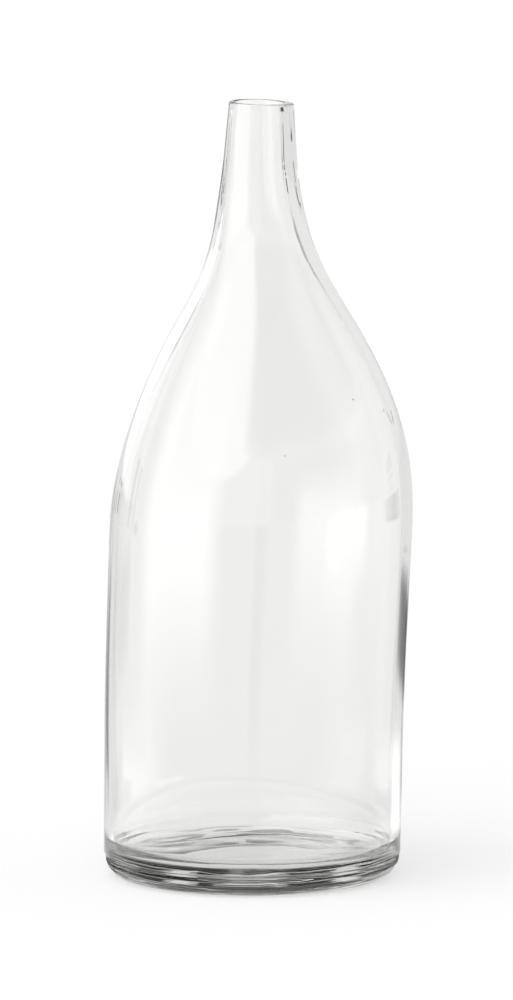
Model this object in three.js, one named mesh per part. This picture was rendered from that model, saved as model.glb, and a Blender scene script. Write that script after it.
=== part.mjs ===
// A hand-blown clear glass carafe. It is one piece of glass: heavy floor, belly, shoulder, throat and neck.
// Millimetres, +Z up. The origin is on the standing plane, in the middle of the outer box.
import * as THREE from "three";

// Underside and floor
const FOOT_RADIUS = 56.8; // side of the solid foot, above its rounded heel
const HEEL_RADIUS = 7.7; // rounding between the side and the standing ring
const LEDGE_RISE = 1.4; // height of the small ledge above the heel, where the wall starts
const LEDGE_STEP = 0.6; // how far the wall stands out over the foot there
const PUNT_RADIUS = 38; // edge of the hollow under the foot, inside the flat standing ring
const PUNT_RISE = 4; // how far that hollow is pushed up at its middle
const FLOOR_HEIGHT = 10.5; // inside floor at its edge, above the table
const FLOOR_CROWN = 2.6; // how much higher the floor is at its middle
const INNER_HEEL_RADIUS = 5.5; // rounding between the floor and the inside wall

// Outside, from the heel up: each rise is counted from the station below
const BELLY_RADIUS = 58.3; // the widest ring
const BELLY_RISE = 126.9;
const FLANK_RADIUS = 32.1; // where the shoulder turns from round to hollow
const FLANK_RISE = 83.4;
const FLANK_SLOPE = THREE.MathUtils.degToRad(30.3); // of the glass there, from the vertical
const NECK_RADIUS = 16.3; // root of the neck
const NECK_RISE = 42.6;
const NECK_SLOPE = THREE.MathUtils.degToRad(9.5);
const MOUTH_RADIUS = 12.5;
const MOUTH_RISE = 38;
const MOUTH_SLOPE = THREE.MathUtils.degToRad(5);

// How full each curve is: the share of its rise over which it keeps the direction that it starts or ends in
const BELLY_FULLNESS = 0.3;
const SHOULDER_FULLNESS = 0.4;
const FLANK_FULLNESS = 0.33;
const THROAT_FULLNESS = 0.5;
const NECK_FULLNESS = 0.4;

// Wall, square to the glass
const WALL_FOOT = 3.2; // just above the floor
const WALL_BELLY = 2.8;
const WALL_FLANK = 3.6;
const WALL_NECK = 3.9;
const WALL_MOUTH = 3.25;
const LIP_RADIUS = 0.8; // rounding of the fire-polished lip, outside and inside

// How far the middle of each ring stands towards +X of the foot's, because the glass was blown by hand
const WAIST_DRIFT = 1.1; // halfway between the heel and the belly
const BELLY_DRIFT = 3.6;
const SHOULDER_DRIFT = 5.5; // halfway between the belly and the flank
const FLANK_DRIFT = 5.1;
const NECK_DRIFT = 3.2;
const MOUTH_DRIFT = 3.7;
const BORE_OFFSET = -1.2; // of the bore at the mouth from the outside, so the lip is thicker towards +X
const MOUTH_TILT = THREE.MathUtils.degToRad(2.1); // the mouth is a little lower towards +X

// Fineness of the faceted solid
const SEGMENTS = 48; // round each ring
const BELLY_STEPS = 6; // along each curve of a wall
const SHOULDER_STEPS = 10;
const THROAT_STEPS = 9;
const NECK_STEPS = 5;
const ROUND_STEPS = 5; // along each rounding
const FLOOR_STEPS = 5; // from the middle of the floor or punt to its edge

const wallRadius = FOOT_RADIUS + LEDGE_STEP;
const ledgeHeight = HEEL_RADIUS + LEDGE_RISE;
const bellyHeight = ledgeHeight + BELLY_RISE;
const flankHeight = bellyHeight + FLANK_RISE;
const neckHeight = flankHeight + NECK_RISE;
const mouthHeight = neckHeight + MOUTH_RISE;

// A station of the outline, set in square to the glass by the wall's thickness. Points are (radius, height).
function station(radius, height, slope, wall) {
  const outwards = new THREE.Vector2(Math.cos(slope), Math.sin(slope));
  const upwards = new THREE.Vector2(-Math.sin(slope), Math.cos(slope));
  return { at: new THREE.Vector2(radius, height).addScaledVector(outwards, -wall), upwards };
}

// Points of the curve from one station up to the next, which starts and ends in their directions.
function climb(low, high, startPull, endPull, steps) {
  return new THREE.CubicBezierCurve(
    low.at,
    low.at.clone().addScaledVector(low.upwards, startPull),
    high.at.clone().addScaledVector(high.upwards, -endPull),
    high.at,
  ).getPoints(steps);
}

// The side of the carafe from a foot station to the mouth, for the outside (no walls) or the inside.
function side(foot, wallBelly, wallFlank, wallNeck, wallMouth) {
  const belly = station(BELLY_RADIUS, bellyHeight, 0, wallBelly);
  const flank = station(FLANK_RADIUS, flankHeight, FLANK_SLOPE, wallFlank);
  const neck = station(NECK_RADIUS, neckHeight, NECK_SLOPE, wallNeck);
  const mouth = station(MOUTH_RADIUS, mouthHeight - LIP_RADIUS, MOUTH_SLOPE, wallMouth);
  mouth.at.y = mouthHeight - LIP_RADIUS;
  const bellyPull = BELLY_FULLNESS * BELLY_RISE;
  const shoulderPull = SHOULDER_FULLNESS * FLANK_RISE;
  const flankPull = FLANK_FULLNESS * FLANK_RISE;
  const throatPull = THROAT_FULLNESS * NECK_RISE;
  const neckPull = NECK_FULLNESS * NECK_RISE;
  const mouthPull = NECK_FULLNESS * MOUTH_RISE;
  return [
    ...climb(foot, belly, bellyPull, bellyPull, BELLY_STEPS),
    ...climb(belly, flank, shoulderPull, flankPull, SHOULDER_STEPS).slice(1),
    ...climb(flank, neck, throatPull, neckPull, THROAT_STEPS).slice(1),
    ...climb(neck, mouth, mouthPull, mouthPull, NECK_STEPS).slice(1),
  ];
}

// A quarter of a circle about a centre, from one angle to another.
function rounding(centreRadius, centreHeight, radius, from, to) {
  return new THREE.EllipseCurve(
    centreRadius, centreHeight, radius, radius, from, to, to < from,
  ).getPoints(ROUND_STEPS);
}

// A shallow crown on the axis: from its middle, at the full rise, out to its edge, where it ends level.
function crown(edgeRadius, edgeHeight, rise) {
  const points = [];
  for (let i = 0; i <= FLOOR_STEPS; i += 1) {
    const out = i / FLOOR_STEPS;
    const share = (1 + Math.cos(Math.PI * out)) / 2;
    points.push(new THREE.Vector2(edgeRadius * out, edgeHeight + rise * share));
  }
  return points;
}

// The outside, from the middle of the punt out, round the heel, over the ledge and up to the lip.
function outsideOutline() {
  const wallStart = station(wallRadius, ledgeHeight, 0, 0);
  return [
    ...crown(PUNT_RADIUS, 0, PUNT_RISE),
    ...rounding(FOOT_RADIUS - HEEL_RADIUS, HEEL_RADIUS, HEEL_RADIUS, -Math.PI / 2, 0),
    new THREE.Vector2(FOOT_RADIUS + LEDGE_STEP / 2, HEEL_RADIUS + LEDGE_RISE / 2),
    ...side(wallStart, 0, 0, 0, 0),
  ];
}

// The inside, from the middle of the floor out, round its edge and up to the lip.
function insideOutline() {
  const foot = station(wallRadius, FLOOR_HEIGHT + INNER_HEEL_RADIUS, 0, WALL_FOOT);
  const edge = foot.at.x - INNER_HEEL_RADIUS;
  return [
    ...crown(edge, FLOOR_HEIGHT, FLOOR_CROWN).slice(0, -1),
    ...rounding(edge, FLOOR_HEIGHT + INNER_HEEL_RADIUS, INNER_HEEL_RADIUS, -Math.PI / 2, 0).slice(0, -1),
    ...side(foot, WALL_BELLY, WALL_FLANK, WALL_NECK, WALL_MOUTH),
  ];
}

// The lip: rounded off outside and inside, with a narrow flat land between.
function lipOutline(outer, inner) {
  const centre = mouthHeight - LIP_RADIUS;
  return [
    ...rounding(outer.x - LIP_RADIUS, centre, LIP_RADIUS, 0, Math.PI / 2).slice(1),
    ...rounding(inner.x + LIP_RADIUS, centre, LIP_RADIUS, Math.PI / 2, Math.PI).slice(0, -1),
  ];
}

// How far the middle of the ring at a height stands towards +X of the foot's middle.
const waistHeight = (ledgeHeight + bellyHeight) / 2;
const shoulderHeight = (bellyHeight + flankHeight) / 2;
const stationHeights = [0, waistHeight, bellyHeight, shoulderHeight, flankHeight, neckHeight, mouthHeight];
const stationDrifts = [0, WAIST_DRIFT, BELLY_DRIFT, SHOULDER_DRIFT, FLANK_DRIFT, NECK_DRIFT, MOUTH_DRIFT];
const drifts = new THREE.CubicInterpolant(stationHeights, stationDrifts, 1);
const driftAt = (height) => drifts.evaluate(height)[0];

// The neck's share of what happens at the mouth: none at the flank, all of it at the mouth.
const mouthShare = (height) => THREE.MathUtils.smoothstep(height, flankHeight, mouthHeight);

// Turns the outline about +Z, then moves every ring to where the glass really stands.
function blownBody() {
  const outside = outsideOutline();
  const inside = insideOutline();
  const lip = lipOutline(outside.at(-1), inside.at(-1));
  const outline = [...outside, ...lip, ...inside.reverse()];
  const firstInside = outside.length + lip.length / 2;

  const body = new THREE.LatheGeometry(outline, SEGMENTS).rotateX(Math.PI / 2);
  const position = body.getAttribute("position");
  for (let i = 0; i < position.count; i += 1) {
    const isInside = i % outline.length >= firstInside;
    const height = position.getZ(i);
    const share = mouthShare(height);
    const off = position.getX(i) + (isInside ? BORE_OFFSET * share : 0);
    position.setX(i, off + driftAt(height));
    position.setZ(i, height - off * Math.tan(MOUTH_TILT) * share);
  }
  body.computeVertexNormals();
  body.computeBoundingBox();
  const { min, max } = body.boundingBox;
  return body.translate(-(min.x + max.x) / 2, -(min.y + max.y) / 2, 0);
}

const clearGlass = new THREE.MeshStandardMaterial({
  name: "clear_glass",
  color: 0xf1f3f2,
  roughness: 0.03,
  metalness: 0,
  transparent: true,
  opacity: 0.35,
});

const glassBody = new THREE.Mesh(blownBody(), clearGlass);
glassBody.name = "glass_body";

const carafe = new THREE.Group();
carafe.add(glassBody);

export default carafe;
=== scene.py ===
"""A hand-blown clear glass carafe on a white table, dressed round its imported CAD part.

One piece of glass: its outline is turned about the axis, then every ring is moved to where the blown glass
really stands, and both faces get the shallow waves and the few seeds that hand work leaves. Metres, +Z up.
"""

import math

import bmesh
import bpy
from mathutils import Matrix, Vector, noise
from mathutils.geometry import interpolate_bezier


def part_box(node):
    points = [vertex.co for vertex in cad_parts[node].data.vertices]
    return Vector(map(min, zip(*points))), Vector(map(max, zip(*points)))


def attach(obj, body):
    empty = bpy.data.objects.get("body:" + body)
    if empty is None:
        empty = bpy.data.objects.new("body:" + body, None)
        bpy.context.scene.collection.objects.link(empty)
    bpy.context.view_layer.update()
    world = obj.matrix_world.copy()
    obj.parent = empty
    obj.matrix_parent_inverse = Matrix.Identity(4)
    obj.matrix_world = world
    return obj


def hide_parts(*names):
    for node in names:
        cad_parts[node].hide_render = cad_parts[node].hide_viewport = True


MM = 0.001

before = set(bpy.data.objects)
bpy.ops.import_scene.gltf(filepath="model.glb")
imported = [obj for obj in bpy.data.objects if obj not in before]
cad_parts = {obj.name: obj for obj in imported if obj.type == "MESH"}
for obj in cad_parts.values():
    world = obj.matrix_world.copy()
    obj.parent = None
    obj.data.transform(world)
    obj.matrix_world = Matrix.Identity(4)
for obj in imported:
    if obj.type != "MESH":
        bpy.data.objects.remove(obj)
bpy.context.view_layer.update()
body_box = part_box("glass_body")
cad_centre = (body_box[0] + body_box[1]) / 2

# The outline's sizes, in millimetres, are those of the CAD part
FOOT_RADIUS = 56.8  # side of the solid foot, above its rounded heel
HEEL_RADIUS = 7.7  # rounding between the side and the standing ring
LEDGE_RISE = 1.4  # height of the small ledge above the heel, where the wall starts
LEDGE_STEP = 0.6  # how far the wall stands out over the foot there
PUNT_RADIUS = 38  # edge of the hollow under the foot
PUNT_RISE = 4  # how far that hollow is pushed up at its middle
FLOOR_HEIGHT = 10.5  # inside floor at its edge, above the table
FLOOR_CROWN = 2.6  # how much higher the floor is at its middle
INNER_HEEL_RADIUS = 5.5  # rounding between the floor and the inside wall

BELLY_RADIUS = 58.3  # the widest ring
BELLY_RISE = 126.9
FLANK_RADIUS = 32.1  # where the shoulder turns from round to hollow
FLANK_RISE = 83.4
FLANK_SLOPE = math.radians(30.3)
NECK_RADIUS = 16.3  # root of the neck
NECK_RISE = 42.6
NECK_SLOPE = math.radians(9.5)
MOUTH_RADIUS = 12.5
MOUTH_RISE = 38
MOUTH_SLOPE = math.radians(5)

# How full each curve is: the share of its rise over which it keeps the direction that it starts or ends in
BELLY_FULLNESS = 0.3
SHOULDER_FULLNESS = 0.4
FLANK_FULLNESS = 0.33
THROAT_FULLNESS = 0.5
NECK_FULLNESS = 0.4

# Wall, square to the glass
WALL_FOOT = 3.2
WALL_BELLY = 2.8
WALL_FLANK = 3.6
WALL_NECK = 3.9
WALL_MOUTH = 3.25
LIP_RADIUS = 0.8

# How far the middle of each ring stands towards +X of the foot's, and what the mouth adds
WAIST_DRIFT = 1.1
BELLY_DRIFT = 3.6
SHOULDER_DRIFT = 5.5
FLANK_DRIFT = 5.1
NECK_DRIFT = 3.2
MOUTH_DRIFT = 3.7
BORE_OFFSET = -1.2
MOUTH_TILT = math.radians(2.1)

# Fineness
SEGMENTS = 256  # round each ring
STEP = 2.4  # between points along a wall, about
ROUND_STEPS = 14  # along each rounding of the heel
LIP_STEPS = 6  # along each rounding of the lip
CROWN_STEPS = 24  # from the middle of the floor or punt to its edge
SAME_PLACE = 0.001  # points closer than this are one point

# How far each kind of unevenness leaves the glass off its true outline
SIDE_LUMPS = 0.10  # broad swellings of the side
SIDE_CORDS = 0.036  # upright streaks of stiffer glass
FINE_CORDS = 0.012
NECK_RIPPLES = 0.035  # rings left where the neck was drawn
FLOOR_BLOTCHES = 0.55  # mottling of the floor and the underside, seen through the glass
FLOOR_FOLDS = 0.05
FOOT_SWELLS = 0.22  # tooling marks round the foot, which bend what it mirrors into swirls
FOOT_CURLS = 0.07
INSIDE_PLACE = 40  # sets the inside's noise apart, so that it has waves of its own

# Where each kind sets in or dies out: heights above the table, depths below the mouth, or radii
SIDE_STARTS = (12, 30)
SIDE_ENDS_BELOW_MOUTH = 6
NECK_STARTS = (205, 235)
NECK_ENDS_BELOW_MOUTH = 3
FLOOR_ENDS_HEIGHT = (11, 15)
FLOOR_ENDS_RADIUS = (40, 52)
UNDERSIDE_TOP = 20
UNDERSIDE_ENDS_RADIUS = (30, 40)
FOOT_STARTS = (0.6, 3)
FOOT_ENDS = (10, 16)
FOOT_STARTS_RADIUS = (46, 52)

# Seeds: azimuth from +Y towards +X in degrees, then height, length, width and depth in the wall
SEEDS = [
    (172, 170, 0.6, 0.5, 1.3),
    (135, 189, 0.8, 0.6, 1.3),
    (260, 83, 1.0, 0.6, 1.0),
    (104, 129, 3.2, 0.7, 1.2),
    (264, 179, 2.6, 0.6, 1.2),
    (107, 180, 6.0, 0.8, 1.2),
    (114, 183, 1.6, 0.6, 1.4),
]

wall_radius = FOOT_RADIUS + LEDGE_STEP
ledge_height = HEEL_RADIUS + LEDGE_RISE
belly_height = ledge_height + BELLY_RISE
flank_height = belly_height + FLANK_RISE
neck_height = flank_height + NECK_RISE
mouth_height = neck_height + MOUTH_RISE


def station(radius, height, slope, wall):
    """A point of the outline, set in square to the glass by the wall, and the way up the glass there."""
    upwards = Vector((-math.sin(slope), math.cos(slope)))
    outwards = Vector((math.cos(slope), math.sin(slope)))
    return Vector((radius, height)) - wall * outwards, upwards


def climb(low, high, low_pull, high_pull):
    """Points of the curve from one station up to the next, without the first."""
    (start, start_up), (end, end_up) = low, high
    steps = round((end - start).length / STEP)
    points = interpolate_bezier(
        start.to_3d(),
        (start + low_pull * start_up).to_3d(),
        (end - high_pull * end_up).to_3d(),
        end.to_3d(),
        steps + 1,
    )
    return [point.to_2d() for point in points[1:]]


def side(foot, wall_belly, wall_flank, wall_neck, wall_mouth):
    """The side from a foot station to the mouth, for the outside (no walls) or the inside."""
    belly = station(BELLY_RADIUS, belly_height, 0, wall_belly)
    flank = station(FLANK_RADIUS, flank_height, FLANK_SLOPE, wall_flank)
    neck = station(NECK_RADIUS, neck_height, NECK_SLOPE, wall_neck)
    mouth = station(MOUTH_RADIUS, mouth_height - LIP_RADIUS, MOUTH_SLOPE, wall_mouth)
    mouth[0].y = mouth_height - LIP_RADIUS
    belly_pull = BELLY_FULLNESS * BELLY_RISE
    neck_pull = NECK_FULLNESS * MOUTH_RISE
    return [
        foot[0],
        *climb(foot, belly, belly_pull, belly_pull),
        *climb(belly, flank, SHOULDER_FULLNESS * FLANK_RISE, FLANK_FULLNESS * FLANK_RISE),
        *climb(flank, neck, THROAT_FULLNESS * NECK_RISE, NECK_FULLNESS * NECK_RISE),
        *climb(neck, mouth, neck_pull, neck_pull),
    ]


def rounding(centre, radius, start, end, steps=ROUND_STEPS):
    """An arc about a centre, from one angle to another."""
    angles = [start + (end - start) * i / steps for i in range(steps + 1)]
    return [centre + radius * Vector((math.cos(a), math.sin(a))) for a in angles]


def crown(edge_radius, edge_height, rise):
    """A shallow crown on the axis, from its middle out to its edge, where it ends level."""
    points = []
    for i in range(CROWN_STEPS + 1):
        out = i / CROWN_STEPS
        share = (1 + math.cos(math.pi * out)) / 2
        points.append(Vector((edge_radius * out, edge_height + rise * share)))
    return points


def outside_outline():
    """From the middle of the punt out, round the heel, over the ledge and up to the lip."""
    heel = Vector((FOOT_RADIUS - HEEL_RADIUS, HEEL_RADIUS))
    ledge = Vector((FOOT_RADIUS + LEDGE_STEP / 2, HEEL_RADIUS + LEDGE_RISE / 2))
    return [
        *crown(PUNT_RADIUS, 0, PUNT_RISE),
        *rounding(heel, HEEL_RADIUS, -math.pi / 2, 0),
        ledge,
        *side(station(wall_radius, ledge_height, 0, 0), 0, 0, 0, 0),
    ]


def inside_outline():
    """From the middle of the floor out, round its edge and up to the lip."""
    foot = station(wall_radius, FLOOR_HEIGHT + INNER_HEEL_RADIUS, 0, WALL_FOOT)
    edge = foot[0].x - INNER_HEEL_RADIUS
    centre = Vector((edge, FLOOR_HEIGHT + INNER_HEEL_RADIUS))
    return [
        *crown(edge, FLOOR_HEIGHT, FLOOR_CROWN)[:-1],
        *rounding(centre, INNER_HEEL_RADIUS, -math.pi / 2, 0)[:-1],
        *side(foot, WALL_BELLY, WALL_FLANK, WALL_NECK, WALL_MOUTH),
    ]


def lip_outline(outer, inner):
    """The fire-polished lip: rounded off outside and inside, with a narrow land between."""
    height = mouth_height - LIP_RADIUS
    outer_centre = Vector((outer.x - LIP_RADIUS, height))
    inner_centre = Vector((inner.x + LIP_RADIUS, height))
    return [
        *rounding(outer_centre, LIP_RADIUS, 0, math.pi / 2, LIP_STEPS)[1:],
        *rounding(inner_centre, LIP_RADIUS, math.pi / 2, math.pi, LIP_STEPS)[:-1],
    ]


def smooth_between(places, values, at):
    """The value at a place, on a smooth curve through the values at the given places."""
    i = max(j for j in range(len(places) - 1) if places[j] <= at or j == 0)
    low, high = places[i], places[i + 1]
    span = high - low

    def slope(j):
        before, after = max(j - 1, 0), min(j + 1, len(places) - 1)
        return (values[after] - values[before]) / (places[after] - places[before])

    t = (at - low) / span
    return (
        (2 * t**3 - 3 * t**2 + 1) * values[i]
        + (t**3 - 2 * t**2 + t) * span * slope(i)
        + (3 * t**2 - 2 * t**3) * values[i + 1]
        + (t**3 - t**2) * span * slope(i + 1)
    )


def drift_at(height):
    """How far the ring at a height stands towards +X of the foot."""
    heights = [
        0,
        (ledge_height + belly_height) / 2,
        belly_height,
        (belly_height + flank_height) / 2,
        flank_height,
        neck_height,
        mouth_height,
    ]
    drifts = [
        0,
        WAIST_DRIFT,
        BELLY_DRIFT,
        SHOULDER_DRIFT,
        FLANK_DRIFT,
        NECK_DRIFT,
        MOUTH_DRIFT,
    ]
    return smooth_between(heights, drifts, height)


def ramp(value, start, end):
    """0 before start, 1 past end and smooth between."""
    share = min(max((value - start) / (end - start), 0), 1)
    return share * share * (3 - 2 * share)


def mouth_share(height):
    """The neck's share of what happens at the mouth: none at the flank, all of it at the mouth."""
    return ramp(height, flank_height, mouth_height)


def waves_round(turn, height, around, rise, place, layer=0):
    """Smooth noise on the side: more waves with a larger around, each about a rise high, in millimetres."""
    return noise.noise(Vector((turn.x * around + layer, turn.y * around, height / rise + place)))


def waves_flat(point, width, depth, place):
    """Smooth noise on a level face, of a width and depth in millimetres."""
    return noise.noise(Vector((point.x / width, point.y / depth, place)))


def unevenness(point, within):
    """How far hand work leaves a face off its true outline, along its normal, in millimetres."""
    radius = math.hypot(point.x, point.y)
    if radius < SAME_PLACE:
        turn = Vector((0, 0))
    else:
        turn = Vector((point.x, point.y)) / radius
    height = point.z
    layer = INSIDE_PLACE * within

    lumps = waves_round(turn, height, around=1.6, rise=60, place=0, layer=layer)
    cords = waves_round(turn, height, around=7, rise=90, place=11, layer=layer)
    fine_cords = waves_round(turn, height, around=16, rise=60, place=23, layer=layer)
    side_top = mouth_height - SIDE_ENDS_BELOW_MOUTH
    on_side = ramp(height, *SIDE_STARTS) * (1 - ramp(height, side_top, mouth_height))
    side_part = on_side * (SIDE_LUMPS * lumps + SIDE_CORDS * cords + FINE_CORDS * fine_cords)

    ripples = waves_round(turn, height, around=2.2, rise=5, place=31, layer=layer)
    neck_top = mouth_height - NECK_ENDS_BELOW_MOUTH
    on_neck = ramp(height, *NECK_STARTS) * (1 - ramp(height, neck_top, mouth_height))
    neck_part = on_neck * NECK_RIPPLES * ripples

    blotches = waves_flat(point, width=18, depth=15, place=51 + layer)
    folds = waves_flat(point, width=10, depth=10, place=71 + layer)
    if within:
        on_floor = (1 - ramp(height, *FLOOR_ENDS_HEIGHT)) * (1 - ramp(radius, *FLOOR_ENDS_RADIUS))
    else:
        on_floor = (1 - ramp(radius, *UNDERSIDE_ENDS_RADIUS)) * (height < UNDERSIDE_TOP)
    floor_part = on_floor * (FLOOR_BLOTCHES * blotches + FLOOR_FOLDS * folds)

    swells = waves_round(turn, height, around=5, rise=12, place=91)
    curls = waves_round(turn, height, around=16, rise=8, place=97)
    if within:
        on_foot = 0
    else:
        up_the_foot = ramp(height, *FOOT_STARTS) * (1 - ramp(height, *FOOT_ENDS))
        on_foot = up_the_foot * ramp(radius, *FOOT_STARTS_RADIUS)
    foot_part = on_foot * (FOOT_SWELLS * swells + FOOT_CURLS * curls)
    return side_part + neck_part + floor_part + foot_part


def outer_radius(outline, height):
    """The radius of the outside at a height on the side."""
    for low, high in zip(outline, outline[1:]):
        if low.y <= height <= high.y and high.y > ledge_height:
            return low.lerp(high, (height - low.y) / (high.y - low.y)).x
    return FOOT_RADIUS


def add_seed(bm, outline, azimuth, height, length, width, depth):
    """A small bubble drawn out in the wall, as a closed hollow. Sizes in millimetres, azimuth in degrees."""
    turn = math.radians(azimuth)
    radius = outer_radius(outline, height) - depth
    hollow = bmesh.ops.create_icosphere(bm, subdivisions=2, radius=width / 2)["verts"]
    bmesh.ops.scale(bm, vec=(1, 1, length / width), verts=hollow)
    place = Vector((radius * math.sin(turn), radius * math.cos(turn), height))
    bmesh.ops.translate(bm, vec=place, verts=hollow)
    faces = {face for vertex in hollow for face in vertex.link_faces}
    bmesh.ops.reverse_faces(bm, faces=list(faces))


def spun_body(bm, outside, inside):
    """Turns the closed outline about the axis and returns the layer that is 1 on the inside's points."""
    lip = lip_outline(outside[-1], inside[-1])
    half_lip = len(lip) // 2
    is_inside = bm.verts.layers.int.new("is_inside")
    outline = [(point, 0) for point in outside + lip[:half_lip]]
    outline += [(point, 1) for point in lip[half_lip:] + inside[::-1]]
    corners = []
    for point, within in outline:
        corner = bm.verts.new((point.x, 0, point.y))
        corner[is_inside] = within
        corners.append(corner)
    edges = [bm.edges.new(pair) for pair in zip(corners, corners[1:])]
    bmesh.ops.spin(
        bm, geom=corners + edges, cent=(0, 0, 0), axis=(0, 0, 1),
        angle=2 * math.pi, steps=SEGMENTS, use_merge=True,
    )
    bmesh.ops.remove_doubles(bm, verts=bm.verts, dist=SAME_PLACE)
    bmesh.ops.recalc_face_normals(bm, faces=bm.faces)
    bm.normal_update()
    return is_inside


def blown_body():
    """The whole carafe as one closed mesh, with the seeds as closed hollows in its wall."""
    outside = outside_outline()
    bm = bmesh.new()
    is_inside = spun_body(bm, outside, inside_outline())

    shifts = [unevenness(vertex.co, vertex[is_inside]) for vertex in bm.verts]
    normals = [vertex.normal.copy() for vertex in bm.verts]
    for vertex, shift, normal in zip(bm.verts, shifts, normals):
        vertex.co += shift * normal
    for seed in SEEDS:
        add_seed(bm, outside, *seed)

    for vertex in bm.verts:
        height = vertex.co.z
        share = mouth_share(height)
        off = vertex.co.x + BORE_OFFSET * share * vertex[is_inside]
        vertex.co.x = off + drift_at(height)
        vertex.co.z = height - off * math.tan(MOUTH_TILT) * share
    bmesh.ops.scale(bm, vec=(MM, MM, MM), verts=bm.verts)

    mesh = bpy.data.meshes.new("blown_glass")
    bm.to_mesh(mesh)
    bm.free()
    xs = [v.co.x for v in mesh.vertices]
    ys = [v.co.y for v in mesh.vertices]
    middle = Vector(((min(xs) + max(xs)) / 2, (min(ys) + max(ys)) / 2, 0))
    mesh.transform(Matrix.Translation(Vector((cad_centre.x, cad_centre.y, 0)) - middle))
    mesh.shade_smooth()
    piece = bpy.data.objects.new("blown_glass", mesh)
    bpy.context.scene.collection.objects.link(piece)
    return piece


def linear(hex_colour):
    """An sRGB hex colour as linear RGBA."""
    channels = [int(hex_colour[i:i + 2], 16) / 255 for i in (1, 3, 5)]
    values = [c / 12.92 if c <= 0.04045 else ((c + 0.055) / 1.055) ** 2.4 for c in channels]
    return (*values, 1)


def add(tree, kind, settings=None, links=None):
    """Adds a node with its settings and the sockets that feed its inputs."""
    node = tree.nodes.new(kind)
    for name, value in (settings or {}).items():
        if isinstance(name, int) or name in node.inputs:
            node.inputs[name].default_value = value
        else:
            setattr(node, name, value)
    for name, source in (links or {}).items():
        tree.links.new(source, node.inputs[name])
    return node


def new_material(name):
    """An empty node material and its output node."""
    material = bpy.data.materials.new(name)
    material.use_nodes = True
    material.node_tree.nodes.clear()
    return material, add(material.node_tree, "ShaderNodeOutputMaterial")


# The glass's surface, in millimetres but for the roughness and the stretch
SCUFF_SIZE = 2.5
SCUFF_START = 0.15  # height above the table up to which the standing ring is rubbed in full
SCUFF_END = 0.7
SCUFF_ROUGHNESS = 0.3
RIPPLE_SIZE = 8
RIPPLE_STRETCH = 0.3  # the pattern is drawn out upwards by one over this
RIPPLE_DEPTH = 0.006


def blown_glass_material():
    """Blown soda-lime glass, smooth from the fire: clear, with sharp mirror images and dark bent edges.

    It scatters almost nothing, so the eye reads it from what it mirrors and bends.
    """
    material, output = new_material("blown soda-lime glass")
    tree = material.node_tree
    place = add(tree, "ShaderNodeTexCoord")
    height = add(tree, "ShaderNodeSeparateXYZ", None, {0: place.outputs["Object"]})

    # Rubbed marks on the standing ring alone: a patchy, faintly frosted line under the foot. Real scratches
    # are too fine to show, so whole patches of them are drawn.
    scuffs = add(tree, "ShaderNodeTexNoise", {"Scale": 1 / (SCUFF_SIZE * MM), "Detail": 4.0}, {
        "Vector": place.outputs["Object"],
    })
    near_table = add(tree, "ShaderNodeMapRange", {
        "From Min": SCUFF_START * MM,
        "From Max": SCUFF_END * MM,
        "To Min": SCUFF_ROUGHNESS,
        "To Max": 0.0,
    }, {"Value": height.outputs["Z"]})
    worn = add(tree, "ShaderNodeMath", {"operation": "MULTIPLY"}, {
        0: scuffs.outputs["Fac"],
        1: near_table.outputs["Result"],
    })

    # A skin ripple drawn upwards by the blowing: it makes the long mirror images waver a little
    drawn = add(tree, "ShaderNodeMapping", {"Scale": (1, 1, RIPPLE_STRETCH)}, {
        "Vector": place.outputs["Object"],
    })
    skin = add(tree, "ShaderNodeTexNoise", {"Scale": 1 / (RIPPLE_SIZE * MM), "Detail": 1.0}, {
        "Vector": drawn.outputs["Vector"],
    })
    ripple = add(tree, "ShaderNodeBump", {"Strength": 1.0, "Distance": RIPPLE_DEPTH * MM}, {
        "Height": skin.outputs["Fac"],
    })

    glass = add(tree, "ShaderNodeBsdfPrincipled", {
        "Base Color": linear("#FCFCFB"),
        "Metallic": 0.0,
        "IOR": 1.52,
        "Transmission Weight": 1.0,
    }, {
        "Roughness": worn.outputs[0],
        "Normal": ripple.outputs["Normal"],
    })
    tree.links.new(glass.outputs["BSDF"], output.inputs["Surface"])

    # A weak grey absorption: the thick floor looks a shade darker than the wall
    absorption = add(tree, "ShaderNodeVolumeAbsorption", {
        "Color": linear("#C2C2BE"),
        "Density": 8.0,
    })
    tree.links.new(absorption.outputs["Volume"], output.inputs["Volume"])
    return material


# Studio. Strengths of light, where 1 is white in the render
WHITE = 1.0  # what stands behind everything
ROOM = 0.75  # the room where the glass mirrors it
AMBIENT = 0.55  # the soft light on the table
TABLE_GLOW = 0.56  # lifts the lit table to white
TABLE_RADIUS = 9
TABLE_DEPTH = 0.0002  # how far the table lies under the standing plane
BOUNCES = 40  # thick clear glass needs many

# Which rays see a sheet of the studio: those that the glass has mirrored, those that it hasn't, or all
MIRRORED = True
STRAIGHT = False
ALL = None

SHEET_STEPS = 72  # of a sheet round the carafe
ARC_ROWS = 16
LINE_ROWS = 24
FULL_TURN = 2 * math.pi
NEARLY_FULL_TURN = 6.28  # past this, an azimuth is the start's own, less a rounding error
WALL_RADIUS = 8
WALL_LEVEL = 0.01
WALL_SIDE_FADE = 2.5  # degrees
WALL_LOW_FADE = 0.15  # metres


def seen_rays(tree):
    """A socket that is 1 for rays from the camera, off gloss or through glass."""
    path = add(tree, "ShaderNodeLightPath")
    first = add(tree, "ShaderNodeMath", {"operation": "MAXIMUM"}, {
        0: path.outputs["Is Camera Ray"],
        1: path.outputs["Is Glossy Ray"],
    })
    both = add(tree, "ShaderNodeMath", {"operation": "MAXIMUM"}, {
        0: first.outputs[0],
        1: path.outputs["Is Transmission Ray"],
    })
    return both.outputs[0]


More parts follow.
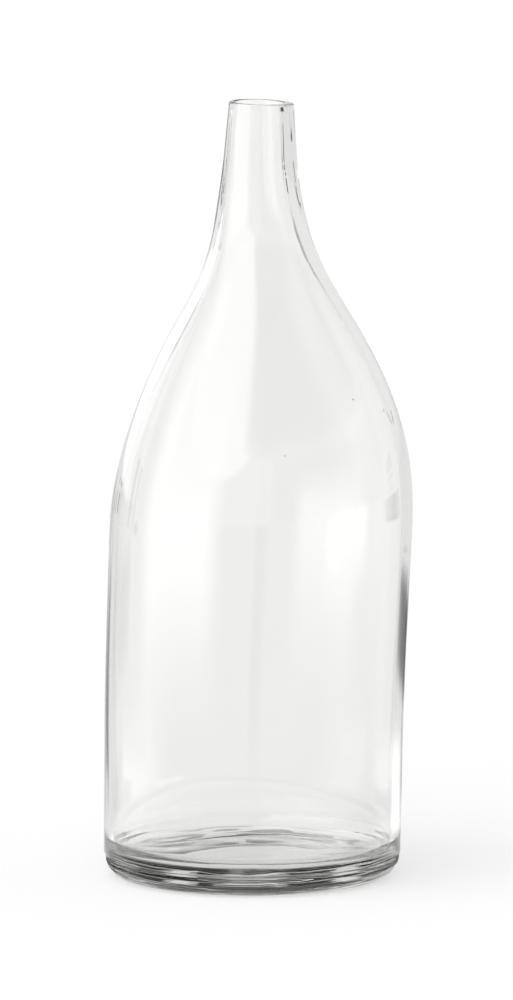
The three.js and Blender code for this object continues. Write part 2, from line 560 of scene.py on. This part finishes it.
def mirrored_rays(tree, mirrored=MIRRORED):
    """A socket that is 1 for rays that glass has mirrored on their way, or for those it has not."""
    path = add(tree, "ShaderNodeLightPath")
    test = add(tree, "ShaderNodeMath", {
        "operation": "GREATER_THAN" if mirrored else "LESS_THAN",
        1: 0.5,
    }, {0: path.outputs["Glossy Depth"]})
    return test.outputs[0]


def white_floor():
    """A matt white table that keeps the carafe's shadow."""
    bm = bmesh.new()
    bmesh.ops.create_circle(bm, cap_ends=True, segments=96, radius=TABLE_RADIUS)
    mesh = bpy.data.meshes.new("floor")
    bm.to_mesh(mesh)
    bm.free()
    floor = bpy.data.objects.new("floor", mesh)
    floor.location.z = -TABLE_DEPTH
    bpy.context.scene.collection.objects.link(floor)
    material, output = new_material("white table")
    tree = material.node_tree
    paint = add(tree, "ShaderNodeBsdfDiffuse", {"Color": linear("#C4C4C4")})
    glow = add(tree, "ShaderNodeEmission", {"Strength": TABLE_GLOW})
    dark = add(tree, "ShaderNodeEmission", {"Strength": 0.0})
    shown = add(tree, "ShaderNodeMixShader", None, {
        0: seen_rays(tree),
        1: dark.outputs[0],
        2: glow.outputs[0],
    })
    both = add(tree, "ShaderNodeAddShader", None, {0: paint.outputs[0], 1: shown.outputs[0]})
    tree.links.new(both.outputs[0], output.inputs["Surface"])
    mesh.materials.append(material)


def studio_world():
    """White all round, a soft even light for the table and a greyer room in the glass's mirrors."""
    world = bpy.data.worlds.new("studio")
    bpy.context.scene.world = world
    world.use_nodes = True
    tree = world.node_tree
    tree.nodes.clear()
    output = add(tree, "ShaderNodeOutputWorld")
    ambient = add(tree, "ShaderNodeBackground", {"Color": (1, 1, 1, 1), "Strength": AMBIENT})
    white = add(tree, "ShaderNodeBackground", {"Color": (1, 1, 1, 1), "Strength": WHITE})
    room = add(tree, "ShaderNodeBackground", {"Color": (1, 1, 1, 1), "Strength": ROOM})
    shown = add(tree, "ShaderNodeMixShader", None, {
        0: mirrored_rays(tree),
        1: white.outputs[0],
        2: room.outputs[0],
    })
    mix = add(tree, "ShaderNodeMixShader", None, {
        0: seen_rays(tree),
        1: ambient.outputs[0],
        2: shown.outputs[0],
    })
    tree.links.new(mix.outputs[0], output.inputs["Surface"])


def arc_profile(radius, low, high):
    """The profile of a round canopy about the carafe, between two elevations in degrees."""
    start = math.radians(low)
    end = math.radians(high)
    angles = [start + (end - start) * i / ARC_ROWS for i in range(ARC_ROWS + 1)]
    return [Vector((radius * math.cos(a), radius * math.sin(a))) for a in angles]


def line_profile(low, high):
    """A straight profile from one (radius, height) to another."""
    return [Vector(low).lerp(Vector(high), i / LINE_ROWS) for i in range(LINE_ROWS + 1)]


def sheet_mesh(name, profile, start, end, side_fade, low_fade, high_fade):
    """A sheet bent round the carafe, with an attribute that says how much of it covers what is behind."""
    bm = bmesh.new()
    cover = bm.verts.layers.float.new("cover")
    turn = Matrix.Rotation(-start, 4, "Z")
    reach = [0]
    for before, after in zip(profile, profile[1:]):
        reach.append(reach[-1] + (after - before).length)
    corners = []
    for point, along in zip(profile, reach):
        corner = bm.verts.new(turn @ Vector((0, point.x, point.y)))
        low_share = ramp(along, 0, low_fade) if low_fade else 1
        high_share = ramp(reach[-1] - along, 0, high_fade) if high_fade else 1
        corner[cover] = low_share * high_share
        corners.append(corner)
    edges = [bm.edges.new(pair) for pair in zip(corners, corners[1:])]
    bmesh.ops.spin(
        bm, geom=corners + edges, cent=(0, 0, 0), axis=(0, 0, -1), angle=end - start, steps=SHEET_STEPS,
    )
    if side_fade:
        for vertex in bm.verts:
            azimuth = (math.atan2(vertex.co.x, vertex.co.y) - start) % FULL_TURN
            azimuth = 0 if azimuth > NEARLY_FULL_TURN else azimuth
            vertex[cover] *= ramp(min(azimuth, end - start - azimuth), 0, side_fade)
    mesh = bpy.data.meshes.new(name)
    bm.to_mesh(mesh)
    bm.free()
    return mesh


def sheet(name, profile, around, level, seen_by, side_fade=0, low_fade=0, high_fade=0):
    """A glowing sheet bent round the carafe between two azimuths, counted from +Y towards +X in degrees.

    Its level of light is 1 for white. It thins out over its sides (degrees), and over its first and its last
    rows (metres), as a cloth or a cast light does. It lights nothing: only the glass shows it.
    """
    start, end = (math.radians(azimuth) for azimuth in around)
    mesh = sheet_mesh(name, profile, start, end, math.radians(side_fade), low_fade, high_fade)
    piece = bpy.data.objects.new(name, mesh)
    bpy.context.scene.collection.objects.link(piece)

    material, output = new_material(name)
    tree = material.node_tree
    glow = add(tree, "ShaderNodeEmission", {"Color": (1, 1, 1, 1), "Strength": level})
    clear = add(tree, "ShaderNodeBsdfTransparent")
    shown = add(tree, "ShaderNodeAttribute", {"attribute_name": "cover"}).outputs["Fac"]
    if seen_by is not ALL:
        shown = add(tree, "ShaderNodeMath", {"operation": "MULTIPLY"}, {
            0: shown,
            1: mirrored_rays(tree, seen_by),
        }).outputs[0]
    mixed = add(tree, "ShaderNodeMixShader", None, {
        0: shown,
        1: clear.outputs[0],
        2: glow.outputs[0],
    })
    tree.links.new(mixed.outputs[0], output.inputs["Surface"])
    material.cycles.emission_sampling = "NONE"
    mesh.materials.append(material)
    piece.visible_camera = False
    piece.visible_diffuse = False
    piece.visible_shadow = False


def wall(name, around, elevations):
    """A dark stretch of the far wall, seen straight through the glass."""
    profile = arc_profile(WALL_RADIUS, *elevations)
    sheet(name, profile, around, WALL_LEVEL, STRAIGHT, WALL_SIDE_FADE, WALL_LOW_FADE)


def table_sheet(name, radii, around, level, height=0.001, seen_by=MIRRORED, **fades):
    """A stretch of the table between two radii, mostly as the glass mirrors it."""
    near, far = radii
    sheet(name, line_profile((near, height), (far, height)), around, level, seen_by, **fades)


def screen(name, radius, heights, around, level, **fades):
    """An upright screen that the glass mirrors, between two heights."""
    low, high = heights
    sheet(name, line_profile((radius, low), (radius, high)), around, level, MIRRORED, **fades)


def canopy(name, radius, elevations, around, level, **fades):
    """A curved stretch of the room that the glass mirrors."""
    sheet(name, arc_profile(radius, *elevations), around, level, MIRRORED, **fades)


def far_walls():
    """Dark to both sides, with a bright window behind: the edges of the glass bend it into dark lines."""
    wall("dark_wall", (24, 325), (5, 26))
    wall("dark_wall_right_low", (335, 354), (4, 9.5))
    wall("dark_wall_right_mid", (332, 351), (8.5, 15.5))
    wall("dark_wall_right_high", (329, 353), (14.5, 26))
    wall("dark_wall_left_low", (8, 17), (4.5, 9.5))
    wall("dark_wall_left_mid", (10, 20), (8.5, 15.5))
    wall("dark_wall_left_high", (7, 18), (14.5, 26))
    wall("dark_wall_middle", (352, 371), (4.5, 10))


def mirrored_table():
    """A greyer table as only the glass mirrors it, with stretches of painted shade and painted light, which
    the foot bends into its swirls.
    """
    table_sheet("table_mirrored", (0.07, 9), (0, 360), 0.8)
    table_sheet("front_table", (0.0585, 9), (70, 255), 0.45, 0.0015, side_fade=20)
    table_sheet("camera_shade", (0.12, 9), (174.5, 185.5), 0.2, 0.0018, side_fade=2, low_fade=0.1)
    table_sheet("near_light_right", (0.07, 0.12), (62, 108), 1.6, 0.0016,
                side_fade=12, low_fade=0.01, high_fade=0.03)
    table_sheet("near_light_left", (0.08, 0.4), (255, 305), 1.2, 0.0016,
                side_fade=12, low_fade=0.01, high_fade=0.12)
    table_sheet("side_light_right", (0.11, 0.36), (22, 100), 1.15, 0.0012,
                side_fade=12, low_fade=0.02, high_fade=0.1)
    table_sheet("contact_shadow", (0.0585, 0.07), (245, 475), 0.1, 0.0004, side_fade=10)
    table_sheet("shade_behind", (0.09, 0.3), (-8, 25), 0.05, 0.002,
                side_fade=4, low_fade=0.01, high_fade=0.15)
    # Painted dark reflections, seen only in the glass's mirrors: a strip behind the carafe for the thin dark
    # lines at the body's edges, and a stripe to its right for the dark streak inside the right edge.
    table_sheet("painted_dark_line_behind", (0.25, 1.3), (-9, 2), 0.02, 0.002,
                side_fade=2, low_fade=0.05, high_fade=0.3)
    table_sheet("dark_stripe", (0.38, 0.78), (6, 46), 0.2, 0.0025,
                side_fade=14, low_fade=0.08, high_fade=0.15)


def painted_foot_shade_screens():
    """Painted shade: low dark screens close to the foot, seen only in the glass's mirrors, stand in for the
    shade on the table round it and give the dark line along its edge.
    """
    screen("painted_shade_screen_front", 0.066, (0, 0.005), (110, 252), 0.03, side_fade=12)
    screen("painted_shade_screen_behind", 0.068, (0, 0.0036), (-30, 30), 0.03, side_fade=10)
    screen("painted_shade_wall_behind", 0.1, (0, 0.016), (-34, 30), 0.03, side_fade=14, high_fade=0.004)


def neck_lines():
    """Narrow dark stretches, mirrored in the neck's wall as its broken upright lines."""
    table_sheet("right_bore_line", (3.0, 4.7), (61, 63.5), 0.02, 0.003)
    table_sheet("right_bore_line_far", (5.3, 8.8), (61, 63.5), 0.02, 0.003)
    table_sheet("right_bore_mark", (1.05, 2.5), (52, 72), 0.02, 0.003)
    table_sheet("right_outer_line", (2.3, 3.0), (9, 12), 0.02, 0.003)
    table_sheet("right_outer_line_far", (3.3, 6.5), (9, 12), 0.02, 0.003)
    table_sheet("left_outer_line", (1.6, 3.0), (-31.5, -29.3), 0.02, 0.003)
    table_sheet("left_edge_line", (4.0, 5.5), (-31.5, -29.3), 0.02, 0.003)
    table_sheet("left_bore_line", (1.8, 8.8), (-61, -57.5), 0.15, 0.003)
    table_sheet("left_inner_line", (1.5, 3.2), (-70, -66.5), 0.02, 0.0035)
    screen("right_bore_dash", 8.2, (0.08, 0.22), (58.5, 62.5), 0.02)
    screen("right_bore_dash_high", 8.2, (0.32, 0.75), (58.5, 62.5), 0.02)
    screen("left_bore_rise", 8.2, (0, 1.2), (-61, -57.5), 0.15)


def soft_boxes():
    """The tall highlight down the left of the belly, and the softer pair on its right."""
    screen("left_soft_box", 0.36, (0.01, 0.9), (204, 281), 2.25,
           side_fade=19, low_fade=0.09, high_fade=0.85)
    screen("right_soft_box", 0.36, (0.03, 0.16), (72, 140), 0.9,
           side_fade=16, low_fade=0.05, high_fade=0.03)
    screen("right_soft_box_front", 0.355, (0.06, 0.13), (119, 133), 1.9,
           side_fade=5, low_fade=0.03, high_fade=0.02)
    screen("right_soft_box_side", 0.355, (0.05, 0.15), (95, 111), 1.9,
           side_fade=6, low_fade=0.04, high_fade=0.02)


def room():
    """How bright the room is in the mirrors of the shoulder and the sides."""
    canopy("high_shade", 7, (22, 88), (68, 203), 0.1, side_fade=13, low_fade=0.8)
    canopy("room_right", 8.5, (0.2, 26), (0, 75), 0.86, side_fade=8, high_fade=0.8)
    canopy("room_left", 8.4, (0.2, 27), (-65, -6), 1.3, side_fade=6, high_fade=0.4)
    canopy("room_behind", 8.2, (2.5, 10), (-8, 8), 1.05, side_fade=3, low_fade=0.2, high_fade=0.2)
    canopy("room_front", 8.3, (0.2, 24), (98, 178), 0.3, side_fade=10, high_fade=0.5)


def light_under_foot():
    """What the glass's floor shows of the table, all painted: a pale grey disc of painted shade under the
    punt, painted light behind it and a painted dark edge of shade in front.
    """
    table_sheet("punt_shade", (0, 0.042), (0, 360), 0.8, -0.0001, ALL, high_fade=0.012)
    table_sheet("ring_light_behind", (0.026, 0.0585), (-75, 75), 1.1, -0.00005, STRAIGHT,
                side_fade=30, low_fade=0.018)
    table_sheet("table_light_behind", (0.0585, 0.11), (-80, 80), 0.97, 0.00005, STRAIGHT,
                side_fade=15, high_fade=0.03)
    table_sheet("ring_shade", (0.042, 0.0585), (145, 290), 0.08, -0.0001, STRAIGHT,
                side_fade=25, low_fade=0.009)


def soft_sun():
    """One broad, even light from the upper left, as from a large diffuser."""
    azimuth = math.radians(-40)
    elevation = math.radians(50)
    light = bpy.data.lights.new("diffused_light", "SUN")
    light.energy = 1.1
    light.angle = math.radians(70)
    lamp = bpy.data.objects.new("diffused_light", light)
    towards = Vector((
        math.sin(azimuth) * math.cos(elevation),
        -math.cos(azimuth) * math.cos(elevation),
        math.sin(elevation),
    ))
    lamp.rotation_euler = (-towards).to_track_quat("-Z", "Y").to_euler()
    bpy.context.scene.collection.objects.link(lamp)


def camera():
    """The photograph's view: a long lens, nearly four metres off, looking down a little."""
    distance = 3.95
    elevation = math.radians(7.8)
    aim = Vector((-0.0006, 0, 0.146))
    data = bpy.data.cameras.new("camera")
    data.lens = 369
    data.sensor_width = 36
    data.clip_end = 100
    eye = bpy.data.objects.new("camera", data)
    eye.location = aim + distance * Vector((0, -math.cos(elevation), math.sin(elevation)))
    eye.rotation_euler = (aim - eye.location).to_track_quat("-Z", "Y").to_euler()
    bpy.context.scene.collection.objects.link(eye)
    bpy.context.scene.camera = eye


camera()
glass = blown_body()
glass.data.materials.append(blown_glass_material())
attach(glass, "root")
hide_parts("glass_body")

white_floor()
studio_world()
far_walls()
mirrored_table()
painted_foot_shade_screens()
neck_lines()
soft_boxes()
room()
light_under_foot()
soft_sun()

cycles = bpy.context.scene.cycles
cycles.max_bounces = BOUNCES
cycles.glossy_bounces = BOUNCES
cycles.transmission_bounces = BOUNCES
cycles.transparent_max_bounces = BOUNCES

bpy.context.scene.view_settings.view_transform = "Standard"
